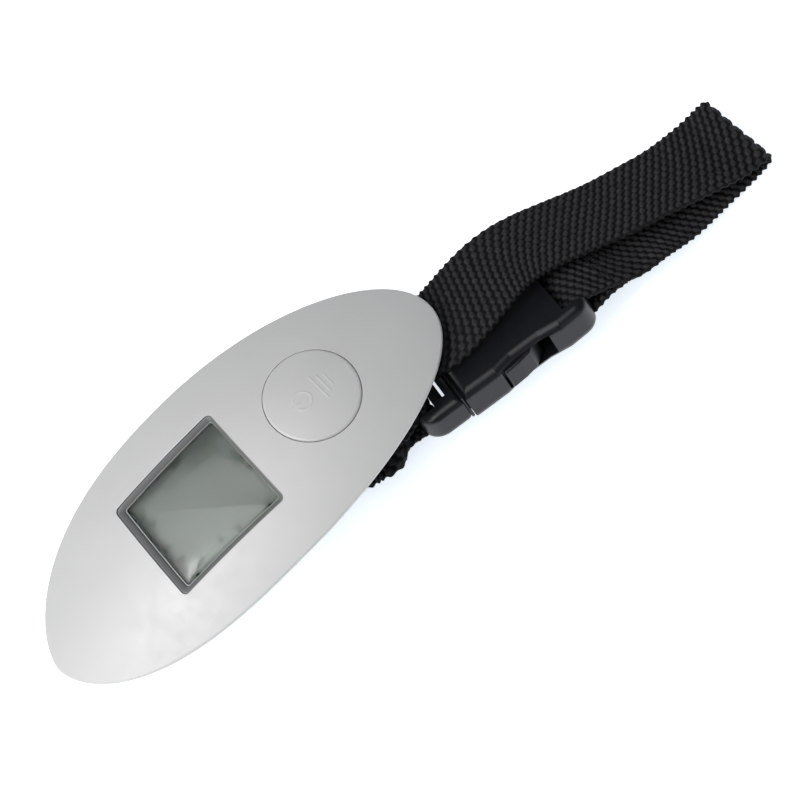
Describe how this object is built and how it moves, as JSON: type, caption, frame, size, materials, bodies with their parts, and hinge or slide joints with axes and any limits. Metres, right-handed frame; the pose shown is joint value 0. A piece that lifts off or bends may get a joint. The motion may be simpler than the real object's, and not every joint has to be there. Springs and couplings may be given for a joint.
{
  "type": "digital luggage scale",
  "caption": "Palm-sized oval luggage scale with display and round button, hanging from its back a webbing strap looped through a side-release buckle.",
  "frame": {"origin": "on the flat of the back, straight below the middle of the oval body", "axes": "+X along the oval towards the strap's far end, +Z out of the face, +Y completes the right hand"},
  "size_m": [0.1866, 0.0507, 0.0319],
  "materials": {
    "silver_face": "satin silver paint over fine moulded grain",
    "shell_grey": "matt moulded, fine spark-eroded texture",
    "bezel_grey": "satin grey",
    "clear_lens": "clear moulded lens, polished",
    "lcd_glass": "greenish grey reflective display",
    "elastomer": "soft striped connector rubber",
    "board_green": "solder mask over glass fibre board",
    "chip_black": "moulded epoxy",
    "steel": "zinc plated",
    "ring_steel": "nickel plated wire",
    "cell_aluminium": "machined, clear anodised",
    "gauge_foil": "foil gauge on amber film",
    "contact_brass": "nickel flashed spring sheet",
    "lead_insulation": "thin insulated wire",
    "cell_can": "pressed steel can",
    "webbing": "coarse woven black webbing",
    "buckle_black": "moulded acetal, soft shine"
  },
  "bodies": {
    "housing": {"front_cover": "silver_face", "rear_shell": "shell_grey", "window_bezel": "bezel_grey", "display_window": "clear_lens", "lcd_panel": "lcd_glass", "lcd_frame": "bezel_grey", "zebra_strips": "elastomer", "circuit_board": "board_green", "controller_chip": "chip_black", "tact_switch": "chip_black", "load_cell": "cell_aluminium", "strain_gauges": "gauge_foil", "gauge_leads": "lead_insulation", "battery_leads": "lead_insulation", "cell_screws": "steel", "hook_block": "steel", "hook_screws": "steel", "case_screws": "steel", "board_screws": "steel", "coin_cell": "cell_can", "contact_negative": "contact_brass", "contact_positive": "contact_brass"},
    "button": {"power_button": "silver_face"},
    "plunger": {"switch_plunger": "chip_black"},
    "battery_door": {"battery_cover": "shell_grey"},
    "ring": {"strap_ring": "ring_steel"},
    "strap": {"webbing_wrap": "webbing", "webbing_upper": "webbing", "webbing_short": "webbing", "buckle_latch": "buckle_black"},
    "left_prong": {"prong_left": "buckle_black"},
    "right_prong": {"prong_right": "buckle_black"},
    "socket": {"buckle_socket": "buckle_black", "webbing_far": "webbing"}
  },
  "joints": [
    {"name": "button_press", "type": "slide", "parent": "housing", "child": "button", "axis": [0, 0, -1], "range_m": [0, 0.0003], "stiffness_N_per_m": 1500},
    {"name": "plunger_travel", "type": "slide", "parent": "housing", "child": "plunger", "axis": [0, 0, -1], "range_m": [0, 0.0003]},
    {"name": "battery_cover_turn", "type": "hinge", "parent": "housing", "child": "battery_door", "pos_m": [-0.013, 0, 0], "axis": [0, 0, 1], "range_deg": [0, 50]},
    {"name": "ring_swing", "type": "hinge", "parent": "housing", "child": "ring", "pos_m": [0.006, 0, 0.0095], "axis": [0, 1, 0], "range_deg": [0, 64]},
    {"name": "strap_swing", "type": "hinge", "parent": "ring", "child": "strap", "pos_m": [0.017, 0, 0.0042], "axis": [0, 1, 0], "range_deg": [0, 26]},
    {"name": "squeeze_left", "type": "hinge", "parent": "strap", "child": "left_prong", "pos_m": [0.0485, -0.00218, 0.00618], "axis": [-0.0647, -0.4176, -0.9063], "range_deg": [0, 7], "stiffness_Nm_per_rad": 0.6},
    {"name": "squeeze_right", "type": "hinge", "parent": "strap", "child": "right_prong", "pos_m": [0.04615, -0.01731, 0.01332], "axis": [0.0647, 0.4176, 0.9063], "range_deg": [0, 7], "stiffness_Nm_per_rad": 0.6},
    {"name": "buckle_release", "type": "slide", "parent": "strap", "child": "socket", "axis": [0.9882, -0.153, 0], "range_m": [0, 0.021], "deforming": ["prong_left", "prong_right"]}
  ],
  "couplings": [
    {"joint": "plunger_travel", "follows": "button_press", "ratio": 1},
    {"joint": "squeeze_right", "follows": "squeeze_left", "ratio": 1}
  ]
}
